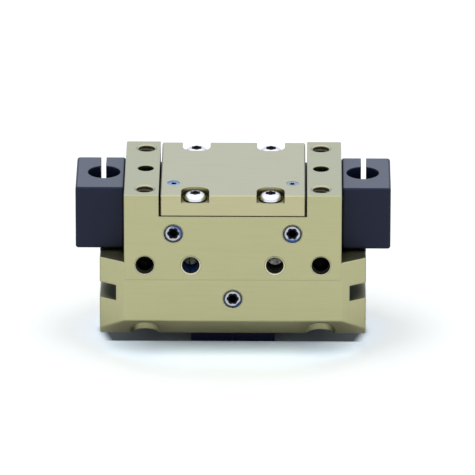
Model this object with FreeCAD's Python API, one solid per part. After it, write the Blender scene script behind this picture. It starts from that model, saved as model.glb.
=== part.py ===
import FreeCAD
import Part

import math
import os

# Two-jaw pneumatic parallel gripper, standing on its closed jaws.
# Millimetres. X is the jaw travel, -Y the face with the air ports, +Z the mounting side.
# The origin is on the resting plane, in the middle between the jaws.

# Housing envelope
BODY_WIDTH = 54.3
BODY_DEPTH = 36.8
BODY_HEIGHT = 39.55
BASE_WIDTH = 66.7
SHOULDER_DROP = 18.1
PAD_DROP = 22.9
PAD_PROUD = 0.1
CORNER_ANGLE = 30.0
UNDER_CHAMFER = 5.7
EDGE_BREAK = 0.22
SIDE_GROOVE_DROP = 24.75
SIDE_GROOVE_HEIGHT = 4.1
SIDE_GROOVE_DEPTH = 4.13

# Cover plate in the channel of the mounting side
COVER_WIDTH = 36.1
COVER_BACK_SET = 0.6
COVER_THICKNESS = 5.65
COVER_SIDE_GAP = 0.45
COVER_EDGE_BREAK = 0.3
COVER_SCREW_X = 9.4
COVER_SCREW_INSET = 2.9
NOTCH_WIDTH = 7.0
NOTCH_DROP = 2.0
NOTCH_CORNER = 2.8
HEAD_ROOM = 0.15
COVER_SCREW_REACH = 7.0
COVER_PORT_X = 14.8
COVER_PORT_Y = -9.9
COVER_PORT_PASSAGE = 1.0
COVER_PORT_DEPTH = 6.0

# Mounting holes
MOUNT_SPACING_X = 44.0
MOUNT_SPACING_Y = 27.5
MOUNT_THREAD_DEPTH = 10.0
MOUNT_PASSAGE = 2.15
MOUNT_HEAD_BORE = 3.75
MOUNT_HEAD_DEPTH = 5.2
DOWEL_RADIUS = 2.0
DOWEL_DEPTH = 8.0
FRONT_ROW_DROP = 18.82
FRONT_THREAD_DEPTH = 10.0
FRONT_PASSAGE = 2.1
HOLE_CHAMFER = 0.12

# Air ports and plugs of the front face
PORT_SPACING = 21.0
PORT_DEPTH = 6.4
PORT_PASSAGE = 1.2
PORT_PASSAGE_DEPTH = 2.1
GALLERY_SPACING = 29.7
GALLERY_DROP = 10.3
PURGE_DROP = 27.95
PLUG_LENGTH = 5.0
PLUG_SUNK = 0.3
PURGE_PASSAGE = 1.0

# Thread radii of the metric sizes in use
M3 = 1.5
M4 = 2.0
M5 = 2.5

# Jaws and their T-slot guide
JAW_STROKE = 6.0
JAW_PROUD = 4.5
JAW_GAP = 0.1
JAW_WIDTH = 14.6
JAW_BOSS_LENGTH = 10.5
JAW_TAIL_REACH = 26.4
JAW_TAIL_RECESS = 0.3
FLANGE_WIDTH = 19.6
FLANGE_THICKNESS = 3.5
LIP_THICKNESS = 5.9
GUIDE_CLEARANCE = 0.05
FINGER_THREAD_X = 6.9
FINGER_THREAD_SPACING = 8.4
FINGER_THREAD_DEPTH = 4.6
FINGER_PIN_RADIUS = 1.25
FINGER_PIN_DEPTH = 4.0
JAW_EDGE_BREAK = 0.2

# Wedge hook that turns the piston stroke into jaw travel
PISTON_STROKE = 8.0
WEDGE_HEIGHT = 5.6
WEDGE_HEAD_HALF = 5.5
WEDGE_HEAD_THICKNESS = 2.2
WEDGE_CORE_HALF = 3.0
JAW_LIP_THICKNESS = 2.0
HOOK_CLEARANCE = 0.1
HOOK_END_GAP = 0.3
TOWER_WALL = 2.4
CAVITY_HEIGHT = 6.4
CAVITY_END_GAP = 0.4

# Cylinder, piston and rod
BORE_RADIUS = 12.5
WEB_THICKNESS = 4.0
PISTON_THICKNESS = 5.0
PISTON_CLEARANCE = 0.08
PISTON_TOP_GAP = 0.4
SEAL_CLEARANCE = 0.03
PISTON_SEAL_WIDTH = 1.9
PISTON_SEAL_DEPTH = 2.0
GUIDE_RING_WIDTH = 1.2
GUIDE_RING_DEPTH = 0.9
PISTON_LAND = 0.6
ROD_RADIUS = 4.0
ROD_CLEARANCE = 0.03
BUSH_RADIUS = 5.2
BUSH_LENGTH = 2.2
ROD_SEAL_RADIUS = 5.8
BUMPER_RADIUS = 8.0
BUMPER_THICKNESS = 0.5
PISTON_SCREW_HEAD = 3.3
PISTON_SCREW_HEAD_HEIGHT = 2.2
COVER_SEAL_RADIUS = 14.1
COVER_SEAL_WIDTH = 1.6
COVER_SEAL_HEIGHT = 1.1

# Sensor holders on the shoulders
HOLDER_WIDTH = 12.3
HOLDER_DEPTH = 21.0
HOLDER_HEIGHT = 16.43
HOLDER_LIFT = 0.57
HOLDER_ROUND = 0.7
SENSOR_RADIUS = 4.1
SENSOR_OFFSET = 5.3
SENSOR_WELL_GAP = 0.2
SLOT_WIDTH = 1.3
SLOT_OFFSET = 0.27
HOLDER_SCREW_Y = -6.6
HOLDER_SCREW_SPACING = 8.4
HOLDER_SCREW_REACH = 6.0
CLAMP_SCREW_Y = 6.6
NUT_ACROSS = 5.5
NUT_HEIGHT = 2.4

# Socket screws
CAP_HEAD_RADIUS = 2.75
CAP_HEAD_HEIGHT = 3.0
CAP_HEAD_SUNK = 0.3
CAP_HEAD_ROOM = 0.2
CAP_SOCKET_ACROSS = 2.5
CAP_SOCKET_DEPTH = 1.5
BUTTON_HEAD_RADIUS = 2.85
BUTTON_HEAD_HEIGHT = 1.65
BUTTON_RIM_HEIGHT = 0.5
BUTTON_DOME_RISE = 0.25
BUTTON_FLAT_RIM = 0.3
BUTTON_SOCKET_RADIUS = 1.15
BUTTON_SOCKET_DEPTH = 1.0
PLUG_SOCKET_RADIUS = 1.45
PLUG_SOCKET_DEPTH = 3.0
SMALL_PLUG_SOCKET_RADIUS = 0.75
SMALL_PLUG_LENGTH = 4.0
SMALL_PLUG_SUNK = 0.15
LOBE_PER_SOCKET = 0.25
CORE_PER_SOCKET = 0.8
THREAD_END_CHAMFER = 0.4
BORE_ROOM = 0.1

# Heights above the resting plane
UNDERSIDE = JAW_PROUD
TOP = UNDERSIDE + BODY_HEIGHT
SHOULDER = TOP - SHOULDER_DROP
PAD_EDGE = TOP - PAD_DROP
CHANNEL_FLOOR = TOP - COVER_THICKNESS
FLANGE_POCKET_FLOOR = UNDERSIDE + LIP_THICKNESS
FLANGE_POCKET_TOP = FLANGE_POCKET_FLOOR + FLANGE_THICKNESS + 2 * GUIDE_CLEARANCE
FLANGE_FLOOR = FLANGE_POCKET_FLOOR + GUIDE_CLEARANCE
FLANGE_TOP = FLANGE_FLOOR + FLANGE_THICKNESS
CAVITY_TOP = FLANGE_POCKET_TOP + CAVITY_HEIGHT
BORE_FLOOR = CAVITY_TOP + WEB_THICKNESS
PISTON_TOP = CHANNEL_FLOOR - PISTON_TOP_GAP
PISTON_FLOOR = PISTON_TOP - PISTON_THICKNESS
WEDGE_TOP = CAVITY_TOP - CAVITY_END_GAP
WEDGE_FLOOR = WEDGE_TOP - WEDGE_HEIGHT
HOOK_SLOT_FLOOR = WEDGE_FLOOR - PISTON_STROKE - HOOK_END_GAP
TOWER_TOP = WEDGE_TOP - HOOK_END_GAP
FRONT_ROW = TOP - FRONT_ROW_DROP
GALLERY_ROW = TOP - GALLERY_DROP
PURGE_HEIGHT = TOP - PURGE_DROP
GROOVE_TOP = TOP - SIDE_GROOVE_DROP
GROOVE_FLOOR = GROOVE_TOP - SIDE_GROOVE_HEIGHT
NOTCH_FLOOR = TOP - NOTCH_DROP
HOLDER_FLOOR = SHOULDER + HOLDER_LIFT
HOLDER_TOP = HOLDER_FLOOR + HOLDER_HEIGHT
HOLDER_MID = HOLDER_FLOOR + HOLDER_HEIGHT / 2

# Distances from the middle planes
BODY_SIDE = BODY_WIDTH / 2
BODY_FACE = BODY_DEPTH / 2
LOWER_FACE = BODY_FACE - PAD_PROUD
BASE_SIDE = BASE_WIDTH / 2
CHANNEL_SIDE = COVER_WIDTH / 2 + COVER_SIDE_GAP
MOUNT_X = MOUNT_SPACING_X / 2
MOUNT_Y = MOUNT_SPACING_Y / 2
PORT_X = PORT_SPACING / 2
GALLERY_X = GALLERY_SPACING / 2
COVER_BACK = BODY_FACE - COVER_BACK_SET
SENSOR_X = BODY_SIDE + SENSOR_OFFSET
HOLDER_SIDE = BODY_SIDE + HOLDER_WIDTH
SLOT_X = SENSOR_X + SLOT_OFFSET
JAW_INNER = JAW_GAP / 2
JAW_HALF = JAW_WIDTH / 2 - GUIDE_CLEARANCE
FLANGE_HALF = FLANGE_WIDTH / 2
BOSS_END = JAW_INNER + JAW_BOSS_LENGTH
BOSS_TOP = UNDERSIDE + JAW_TAIL_RECESS

# The hook faces lean outwards by this much for each millimetre of height
HOOK_SLOPE = JAW_STROKE / PISTON_STROKE

# The lip of a closed jaw starts at the jaw's inner face, at the floor of its hook slot
LIP_INNER = JAW_INNER
HEAD_INNER = LIP_INNER + JAW_LIP_THICKNESS + HOOK_CLEARANCE
HEAD_OUTER = HEAD_INNER + WEDGE_HEAD_THICKNESS
TOWER_OUTER = HEAD_OUTER + HOOK_CLEARANCE + TOWER_WALL

UP = FreeCAD.Vector(0, 0, 1)
DOWN = FreeCAD.Vector(0, 0, -1)
FRONT = FreeCAD.Vector(0, -1, 0)
BACK = FreeCAD.Vector(0, 1, 0)
RIGHT = FreeCAD.Vector(1, 0, 0)
SIDES = (-1, 1)
CUT_PAST = 1.0
SIXTH_TURN = math.pi / 3


def vec(x, y, z):
    """Point or direction."""
    return FreeCAD.Vector(x, y, z)


def block(x0, x1, y0, y1, z0, z1):
    """Rectangular solid between two opposite corners."""
    return Part.makeBox(x1 - x0, y1 - y0, z1 - z0, vec(x0, y0, z0))


def drill(radius, mouth, inward, depth):
    """Round cutter that enters at mouth and starts a little outside it."""
    start = mouth - inward * CUT_PAST
    return Part.makeCylinder(radius, depth + CUT_PAST, start, inward)


def tapped(radius, mouth, inward, depth):
    """Cutter of a tapped hole with a chamfered mouth and the cone that the drill leaves."""
    chamfer = Part.makeCone(radius + HOLE_CHAMFER + CUT_PAST, radius, HOLE_CHAMFER + CUT_PAST,
                            mouth - inward * CUT_PAST, inward)
    point = Part.makeCone(radius, 0, radius / 2, mouth + inward * depth, inward)
    return drill(radius, mouth, inward, depth).fuse([chamfer, point])


def extruded(points, direction):
    """Polygon of 3-D points pushed along a direction."""
    wire = Part.makePolygon(points + points[:1])
    return Part.Face(wire).extrude(direction)


def side_profile(outline, half_depth):
    """Outline of (x, z) points pushed evenly to both sides of the middle plane."""
    points = [vec(x, -half_depth, z) for x, z in outline]
    return extruded(points, vec(0, 2 * half_depth, 0))


def turned(outline):
    """Closed outline of (radius, height) points turned about the Z axis."""
    points = [vec(radius, 0, height) for radius, height in outline]
    face = Part.Face(Part.makePolygon(points + points[:1]))
    return face.revolve(vec(0, 0, 0), UP, 360)


def ring(inner, outer, floor, top):
    """Plain ring about the Z axis."""
    return turned([(inner, floor), (outer, floor), (outer, top), (inner, top)])


def broken_edges(solid, size):
    """Solid with every edge chamfered a little."""
    return solid.makeChamfer(size, solid.Edges)


def aimed(shape, place, direction):
    """Copy of a shape made on the Z axis, moved to a place with its +Z along a direction."""
    turn = FreeCAD.Rotation(UP, direction)
    moved = shape.copy()
    moved.Placement = FreeCAD.Placement(place, turn)
    return moved


def mirrored(shape):
    """The same shape on the other side of the middle plane between the jaws."""
    return shape.mirror(vec(0, 0, 0), RIGHT)


def one_solid(shape):
    """The single solid of a boolean result."""
    return shape.Solids[0]


def hook_line(base, height):
    """X of a leaning hook face of a closed jaw, from its X at the floor of the hook slot."""
    return base + HOOK_SLOPE * (height - HOOK_SLOT_FLOOR)


def leaning(inner, outer, half_depth, floor, top):
    """Leaning slab between two hook faces, for the right-hand jaw."""
    outline = [
        (hook_line(inner, floor), floor),
        (hook_line(outer, floor), floor),
        (hook_line(outer, top), top),
        (hook_line(inner, top), top),
    ]
    return side_profile(outline, half_depth)


def hex_socket(across, depth):
    """Cutter of a hexagon socket that opens at the origin and goes down."""
    radius = across / math.sqrt(3)
    corners = [vec(radius * math.cos(i * SIXTH_TURN), radius * math.sin(i * SIXTH_TURN), 0)
               for i in range(6)]
    return extruded(corners, DOWN * depth)


def six_lobe_socket(radius, depth):
    """Cutter of a six-lobe socket that opens at the origin and goes down."""
    lobe = radius * LOBE_PER_SOCKET
    core = Part.makeCylinder(radius * CORE_PER_SOCKET, depth, vec(0, 0, 0), DOWN)
    lobes = []
    for i in range(6):
        reach = radius - lobe
        centre = vec(reach * math.cos(i * SIXTH_TURN), reach * math.sin(i * SIXTH_TURN), 0)
        lobes.append(Part.makeCylinder(lobe, depth, centre, DOWN))
    return core.fuse(lobes)


def cap_screw(thread, length, head_radius, head_height):
    """Socket-head cap screw, the seat of its head at the origin and its shank down."""
    edge = THREAD_END_CHAMFER / 2
    body = turned([
        (0, -length),
        (thread - THREAD_END_CHAMFER, -length),
        (thread, -length + THREAD_END_CHAMFER),
        (thread, 0),
        (head_radius, 0),
        (head_radius, head_height - edge),
        (head_radius - edge, head_height),
        (0, head_height),
    ])
    socket = hex_socket(CAP_SOCKET_ACROSS, CAP_SOCKET_DEPTH)
    socket.translate(vec(0, 0, head_height))
    return body.cut(socket)


def button_screw(thread, length):
    """Button-head screw with a domed head, seated at the origin, its shank down."""
    rim = vec(BUTTON_HEAD_RADIUS, 0, BUTTON_RIM_HEIGHT)
    flat = vec(BUTTON_SOCKET_RADIUS + BUTTON_FLAT_RIM, 0, BUTTON_HEAD_HEIGHT)
    outward = vec(flat.z - rim.z, 0, rim.x - flat.x).normalize()
    dome = Part.Arc(rim, (rim + flat) / 2 + outward * BUTTON_DOME_RISE, flat).toShape()
    corners = [
        flat,
        vec(0, 0, BUTTON_HEAD_HEIGHT),
        vec(0, 0, -length),
        vec(thread - THREAD_END_CHAMFER, 0, -length),
        vec(thread, 0, -length + THREAD_END_CHAMFER),
        vec(thread, 0, 0),
        vec(BUTTON_HEAD_RADIUS, 0, 0),
        rim,
    ]
    outline = Part.Wire([dome] + Part.makePolygon(corners).Edges)
    body = Part.Face(outline).revolve(vec(0, 0, 0), UP, 360)
    socket = six_lobe_socket(BUTTON_SOCKET_RADIUS, BUTTON_SOCKET_DEPTH)
    socket.translate(vec(0, 0, BUTTON_HEAD_HEIGHT))
    return body.cut(socket)


def plug_screw(thread, length, socket_radius, socket_depth):
    """Headless plug screw, its outer face at the origin and its thread down."""
    body = turned([
        (0, -length),
        (thread - THREAD_END_CHAMFER, -length),
        (thread, -length + THREAD_END_CHAMFER),
        (thread, -THREAD_END_CHAMFER / 2),
        (thread - THREAD_END_CHAMFER / 2, 0),
        (0, 0),
    ])
    return body.cut(six_lobe_socket(socket_radius, socket_depth))


def base_block():
    """Wide lower block with slanted corners and the long chamfers of its underside."""
    slant = (BASE_SIDE - BODY_SIDE) * math.tan(math.radians(CORNER_ANGLE))
    corner = LOWER_FACE - slant
    quarter = [(BODY_SIDE, -LOWER_FACE), (BASE_SIDE, -corner)]
    right = quarter + [(x, -y) for x, y in reversed(quarter)]
    plan = right + [(-x, -y) for x, y in right]
    solid = extruded([vec(x, y, UNDERSIDE) for x, y in plan], UP * (SHOULDER - UNDERSIDE))
    past = BASE_SIDE + CUT_PAST
    for side in SIDES:
        corner_bar = extruded([
            vec(-past, side * (LOWER_FACE + CUT_PAST), UNDERSIDE - CUT_PAST),
            vec(-past, side * (LOWER_FACE + CUT_PAST), UNDERSIDE + UNDER_CHAMFER + CUT_PAST),
            vec(-past, side * (LOWER_FACE - UNDER_CHAMFER - CUT_PAST), UNDERSIDE - CUT_PAST),
        ], RIGHT * (2 * past))
        solid = solid.cut(corner_bar)
    return broken_edges(solid, EDGE_BREAK)


def upper_block():
    """Narrower upper block, whose front and back stand proud as machined mounting pads."""
    solid = block(-BODY_SIDE, BODY_SIDE, -BODY_FACE, BODY_FACE, PAD_EDGE, TOP)
    return broken_edges(solid, EDGE_BREAK)


def guide_cutters():
    """T-slot of the jaws and the cavity in which the wedge hook works."""
    past = BASE_SIDE + CUT_PAST
    neck = JAW_WIDTH / 2
    flange = FLANGE_HALF + GUIDE_CLEARANCE
    cavity_side = hook_line(TOWER_OUTER, TOWER_TOP) + JAW_STROKE + CAVITY_END_GAP
    return [
        block(-past, past, -neck, neck, UNDERSIDE - CUT_PAST, FLANGE_POCKET_TOP),
        block(-past, past, -flange, flange, FLANGE_POCKET_FLOOR, FLANGE_POCKET_TOP),
        block(-cavity_side, cavity_side, -neck, neck, FLANGE_POCKET_FLOOR, CAVITY_TOP),
    ]


def cylinder_cutters():
    """Cylinder bore, the stepped rod bore below it and the groove of the cover seal."""
    seal_floor = CAVITY_TOP + BUSH_LENGTH
    half = COVER_SEAL_WIDTH / 2
    groove = ring(COVER_SEAL_RADIUS - half, COVER_SEAL_RADIUS + half,
                  CHANNEL_FLOOR - COVER_SEAL_HEIGHT, CHANNEL_FLOOR + CUT_PAST)
    return [
        drill(BORE_RADIUS, vec(0, 0, CHANNEL_FLOOR), DOWN, CHANNEL_FLOOR - BORE_FLOOR),
        drill(ROD_SEAL_RADIUS, vec(0, 0, BORE_FLOOR), DOWN, BORE_FLOOR - seal_floor),
        drill(BUSH_RADIUS, vec(0, 0, seal_floor), DOWN, BUSH_LENGTH + CUT_PAST),
        groove,
    ]


def mounting_cutters():
    """Mounting threads with their through bores and head recesses, and dowel holes."""
    cutters = []
    for x in (-MOUNT_X, MOUNT_X):
        for y in (-MOUNT_Y, MOUNT_Y):
            cutters.append(tapped(M5, vec(x, y, TOP), DOWN, MOUNT_THREAD_DEPTH))
            cutters.append(drill(MOUNT_PASSAGE, vec(x, y, UNDERSIDE), UP, BODY_HEIGHT))
            cutters.append(drill(MOUNT_HEAD_BORE, vec(x, y, UNDERSIDE), UP, MOUNT_HEAD_DEPTH))
        cutters.append(tapped(DOWEL_RADIUS, vec(x, 0, TOP), DOWN, DOWEL_DEPTH))
        cutters.append(drill(FRONT_PASSAGE, vec(x, -BODY_FACE, FRONT_ROW), BACK, BODY_DEPTH))
        for face, inward in ((-BODY_FACE, BACK), (BODY_FACE, FRONT)):
            cutters.append(tapped(M5, vec(x, face, FRONT_ROW), inward, FRONT_THREAD_DEPTH))
    return cutters


def air_cutters():
    """Air ports, plugged galleries, purge port and the passages under the cover ports."""
    cutters = []
    plug_depth = PLUG_SUNK + PLUG_LENGTH
    for side in SIDES:
        port = vec(side * PORT_X, -BODY_FACE, FRONT_ROW)
        cutters.append(tapped(M5, port, BACK, PORT_DEPTH))
        cutters.append(drill(PORT_PASSAGE, port, BACK, PORT_DEPTH + PORT_PASSAGE_DEPTH))
        gallery = vec(side * GALLERY_X, -BODY_FACE, GALLERY_ROW)
        cutters.append(tapped(M5, gallery, BACK, plug_depth))
        passage = vec(side * COVER_PORT_X, COVER_PORT_Y, CHANNEL_FLOOR)
        cutters.append(drill(COVER_PORT_PASSAGE, passage, DOWN, COVER_PORT_DEPTH))
    purge = vec(0, -LOWER_FACE, PURGE_HEIGHT)
    cutters.append(tapped(M5, purge, BACK, plug_depth))
    cutters.append(drill(PURGE_PASSAGE, purge, BACK, LOWER_FACE))
    return cutters


def holder_cutters():
    """Threads of the holder screws and the wells in which the sensors reach the jaws."""
    cutters = []
    well = SENSOR_RADIUS + SENSOR_WELL_GAP
    for side in SIDES:
        inward = RIGHT * -side
        for height in holder_screw_heights():
            mouth = vec(side * BODY_SIDE, HOLDER_SCREW_Y, height)
            cutters.append(drill(M3, mouth, inward, HOLDER_SCREW_REACH))
        mouth = vec(side * SENSOR_X, 0, SHOULDER)
        cutters.append(drill(well, mouth, DOWN, SHOULDER - FLANGE_POCKET_TOP + CUT_PAST))
    return cutters


def housing():
    """One-piece housing with uprights, shoulders, cylinder and jaw guide."""
    past = BODY_FACE + CUT_PAST
    channel = block(-CHANNEL_SIDE, CHANNEL_SIDE, -past, past, CHANNEL_FLOOR, TOP + CUT_PAST)
    grooves = []
    for side in SIDES:
        edges = sorted((side * (BASE_SIDE - SIDE_GROOVE_DEPTH), side * (BASE_SIDE + CUT_PAST)))
        grooves.append(block(edges[0], edges[1], -past, past, GROOVE_FLOOR, GROOVE_TOP))
    threads = [drill(M3, vec(x, y, CHANNEL_FLOOR), DOWN, COVER_SCREW_REACH)
               for x, y in cover_screw_places()]
    cutters = [channel] + grooves + threads + guide_cutters() + cylinder_cutters()
    cutters += mounting_cutters() + air_cutters() + holder_cutters()
    return one_solid(base_block().fuse(upper_block()).cut(cutters))


def cover_screw_places():
    """Plan positions of the four cover screws."""
    return [(x, y) for x in (-COVER_SCREW_X, COVER_SCREW_X)
            for y in (COVER_SCREW_INSET - BODY_FACE, COVER_BACK - COVER_SCREW_INSET)]


def cover_notch(x, y):
    """Cutter of the notch round a screw head, open to the nearer edge of the cover."""
    outward = math.copysign(1, y)
    inner = y - outward * (BUTTON_HEAD_RADIUS + HEAD_ROOM)
    edges = sorted((inner, outward * (BODY_FACE + CUT_PAST + NOTCH_CORNER)))
    half = NOTCH_WIDTH / 2
    pocket = block(x - half, x + half, edges[0], edges[1], NOTCH_FLOOR, TOP + CUT_PAST)
    upright = [edge for edge in pocket.Edges
               if edge.BoundBox.XLength < EDGE_BREAK and edge.BoundBox.YLength < EDGE_BREAK]
    return pocket.makeFillet(NOTCH_CORNER, upright)


def cylinder_cover():
    """Square plate that closes the cylinder, with screw notches and two small air ports."""
    half = COVER_WIDTH / 2
    plate = block(-half, half, -BODY_FACE, COVER_BACK, CHANNEL_FLOOR, TOP)
    plate = broken_edges(plate, COVER_EDGE_BREAK)
    cutters = []
    for x, y in cover_screw_places():
        cutters.append(cover_notch(x, y))
        cutters.append(drill(M3 + BORE_ROOM, vec(x, y, NOTCH_FLOOR), DOWN, COVER_THICKNESS))
    for side in SIDES:
        mouth = vec(side * COVER_PORT_X, COVER_PORT_Y, TOP)
        cutters.append(drill(M3, mouth, DOWN, SMALL_PLUG_SUNK + SMALL_PLUG_LENGTH))
        cutters.append(drill(COVER_PORT_PASSAGE, mouth, DOWN, COVER_THICKNESS + CUT_PAST))
    return one_solid(plate.cut(cutters))


def cover_seal():
    """Flattened ring seal in its groove under the cover."""
    half = COVER_SEAL_WIDTH / 2
    floor = CHANNEL_FLOOR - COVER_SEAL_HEIGHT
    bevel = COVER_SEAL_HEIGHT / 3
    return turned([
        (COVER_SEAL_RADIUS - half + bevel, floor),
        (COVER_SEAL_RADIUS + half - bevel, floor),
        (COVER_SEAL_RADIUS + half, floor + bevel),
        (COVER_SEAL_RADIUS + half, CHANNEL_FLOOR - bevel),
        (COVER_SEAL_RADIUS + half - bevel, CHANNEL_FLOOR),
        (COVER_SEAL_RADIUS - half + bevel, CHANNEL_FLOOR),
        (COVER_SEAL_RADIUS - half, CHANNEL_FLOOR - bevel),
        (COVER_SEAL_RADIUS - half, floor + bevel),
    ])


def cover_screws():
    """Four button-head screws of the cover."""
    length = NOTCH_FLOOR - CHANNEL_FLOOR + COVER_SCREW_REACH
    screw = button_screw(M3, length)
    return Part.makeCompound([aimed(screw, vec(x, y, NOTCH_FLOOR), UP)
                              for x, y in cover_screw_places()])


def cover_port_plugs():
    """Two small plug screws in the hose-free air ports of the cover."""
    plug = plug_screw(M3, SMALL_PLUG_LENGTH, SMALL_PLUG_SOCKET_RADIUS, PLUG_SOCKET_DEPTH)
    height = TOP - SMALL_PLUG_SUNK
    return Part.makeCompound([aimed(plug, vec(side * COVER_PORT_X, COVER_PORT_Y, height), UP)
                              for side in SIDES])


def face_plug(x, face, height):
    """Plug screw sunk a little into a thread of the front face."""
    plug = plug_screw(M5, PLUG_LENGTH, PLUG_SOCKET_RADIUS, PLUG_SOCKET_DEPTH)
    return aimed(plug, vec(x, -face + PLUG_SUNK, height), FRONT)


def right_jaw():
    """Base jaw: finger boss, T-slot guide and the hooked tower that the wedge pulls."""
    body = side_profile([
        (JAW_INNER, 0),
        (BOSS_END, 0),
        (BOSS_END, BOSS_TOP),
        (JAW_TAIL_REACH, BOSS_TOP),
        (JAW_TAIL_REACH, FLANGE_TOP),
        (hook_line(TOWER_OUTER, FLANGE_TOP), FLANGE_TOP),
        (hook_line(TOWER_OUTER, TOWER_TOP), TOWER_TOP),
        (hook_line(LIP_INNER, TOWER_TOP), TOWER_TOP),
        (LIP_INNER, HOOK_SLOT_FLOOR),
    ], JAW_HALF)
    foot_edges = [edge for edge in body.Edges if edge.BoundBox.ZMax < JAW_EDGE_BREAK]
    body = body.makeChamfer(JAW_EDGE_BREAK, foot_edges)
    flange = side_profile([
        (hook_line(LIP_INNER, FLANGE_FLOOR), FLANGE_FLOOR),
        (JAW_TAIL_REACH, FLANGE_FLOOR),
        (JAW_TAIL_REACH, FLANGE_TOP),
        (hook_line(LIP_INNER, FLANGE_TOP), FLANGE_TOP),
    ], FLANGE_HALF)
    past_top = TOWER_TOP + CUT_PAST
    head_slot = leaning(HEAD_INNER - HOOK_CLEARANCE, HEAD_OUTER + HOOK_CLEARANCE,
                        WEDGE_HEAD_HALF + HOOK_CLEARANCE, HOOK_SLOT_FLOOR, past_top)
    core_slot = leaning(LIP_INNER - CUT_PAST, HEAD_INNER,
                        WEDGE_CORE_HALF + HOOK_CLEARANCE, HOOK_SLOT_FLOOR, past_top)
    cutters = [head_slot, core_slot, drill(FINGER_PIN_RADIUS, vec(FINGER_THREAD_X, 0, 0), UP,
                                           FINGER_PIN_DEPTH)]
    for side in SIDES:
        mouth = vec(FINGER_THREAD_X, side * FINGER_THREAD_SPACING / 2, 0)
        cutters.append(drill(M4, mouth, UP, FINGER_THREAD_DEPTH))
    return one_solid(body.fuse(flange).cut(cutters))


def wedge_hook():
    """Wedge whose two leaning T-heads run in the slots of the jaws."""
    floor = WEDGE_FLOOR
    head = leaning(HEAD_INNER, HEAD_OUTER, WEDGE_HEAD_HALF, floor, WEDGE_TOP)
    inner_floor = hook_line(HEAD_INNER, floor)
    inner_top = hook_line(HEAD_INNER, WEDGE_TOP)
    core = side_profile([
        (-inner_floor, floor),
        (inner_floor, floor),
        (inner_top, WEDGE_TOP),
        (-inner_top, WEDGE_TOP),
    ], WEDGE_CORE_HALF)
    hub = Part.makeCylinder(ROD_RADIUS, WEDGE_HEIGHT, vec(0, 0, floor), UP)
    bolt_hole = drill(M4, vec(0, 0, WEDGE_TOP), DOWN, WEDGE_HEIGHT + CUT_PAST)
    return one_solid(core.fuse([head, mirrored(head), hub]).cut(bolt_hole))


def piston_rod():
    """Hollow rod between the piston and the wedge hook."""
    return ring(M4 + BORE_ROOM, ROD_RADIUS, WEDGE_TOP, PISTON_FLOOR)


def piston_grooves():
    """Floor and top heights of the guide ring groove and the seal groove."""
    guide_floor = PISTON_FLOOR + PISTON_LAND
    guide_top = guide_floor + GUIDE_RING_WIDTH
    seal_floor = guide_top + PISTON_LAND
    return guide_floor, guide_top, seal_floor, seal_floor + PISTON_SEAL_WIDTH


def piston():
    """Piston with a screw-head recess and the grooves of its guide ring and seal."""
    rim = BORE_RADIUS - PISTON_CLEARANCE
    guide_floor, guide_top, seal_floor, seal_top = piston_grooves()
    bore = M4 + BORE_ROOM
    recess = PISTON_SCREW_HEAD + BORE_ROOM
    recess_floor = PISTON_TOP - PISTON_SCREW_HEAD_HEIGHT - BORE_ROOM
    return turned([
        (bore, PISTON_FLOOR),
        (rim, PISTON_FLOOR),
        (rim, guide_floor),
        (rim - GUIDE_RING_DEPTH, guide_floor),
        (rim - GUIDE_RING_DEPTH, guide_top),
        (rim, guide_top),
        (rim, seal_floor),
        (rim - PISTON_SEAL_DEPTH, seal_floor),
        (rim - PISTON_SEAL_DEPTH, seal_top),
        (rim, seal_top),
        (rim, PISTON_TOP),
        (recess, PISTON_TOP),
        (recess, recess_floor),
        (bore, recess_floor),
    ])


def piston_guide_ring():
    """Slide ring that keeps the piston off the bore."""
    guide_floor, guide_top, _, _ = piston_grooves()
    inner = BORE_RADIUS - PISTON_CLEARANCE - GUIDE_RING_DEPTH
    return ring(inner, BORE_RADIUS - SEAL_CLEARANCE, guide_floor, guide_top)


def piston_seal():
    """Double-acting piston seal with a lip towards each chamber."""
    _, _, floor, top = piston_grooves()
    inner = BORE_RADIUS - PISTON_CLEARANCE - PISTON_SEAL_DEPTH
    outer = BORE_RADIUS - SEAL_CLEARANCE
    dip = PISTON_SEAL_WIDTH / 4
    middle = (inner + outer) / 2
    return turned([
        (inner, floor),
        (middle, floor + dip),
        (outer, floor),
        (outer - dip / 2, (floor + top) / 2),
        (outer, top),
        (middle, top - dip),
        (inner, top),
    ])


def piston_screw():
    """Screw that clamps piston, rod and wedge hook together."""
    seat = PISTON_TOP - PISTON_SCREW_HEAD_HEIGHT - BORE_ROOM
    screw = cap_screw(M4, seat - WEDGE_FLOOR, PISTON_SCREW_HEAD, PISTON_SCREW_HEAD_HEIGHT)
    return aimed(screw, vec(0, 0, seat), UP)


def rod_bush():
    """Plain bearing of the rod, pressed into the web below the cylinder."""
    return ring(ROD_RADIUS + ROD_CLEARANCE, BUSH_RADIUS, CAVITY_TOP, CAVITY_TOP + BUSH_LENGTH)


def rod_seal():
    """Lip seal of the rod in its pocket at the cylinder floor."""
    floor = CAVITY_TOP + BUSH_LENGTH
    inner = ROD_RADIUS + ROD_CLEARANCE
    middle = (inner + ROD_SEAL_RADIUS) / 2
    dip = (BORE_FLOOR - floor) / 2
    return turned([
        (inner, floor),
        (ROD_SEAL_RADIUS, floor),
        (ROD_SEAL_RADIUS, BORE_FLOOR),
        (middle, BORE_FLOOR - dip),
        (inner, BORE_FLOOR),
    ])


def lower_bumper():
    """Stop ring on the cylinder floor, which also holds the rod seal in."""
    inner = ROD_RADIUS + BORE_ROOM
    return ring(inner, BUMPER_RADIUS, BORE_FLOOR, BORE_FLOOR + BUMPER_THICKNESS)


def holder_screw_heights():
    """Heights of the two screws of a sensor holder."""
    half = HOLDER_SCREW_SPACING / 2
    return HOLDER_MID - half, HOLDER_MID + half


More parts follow.
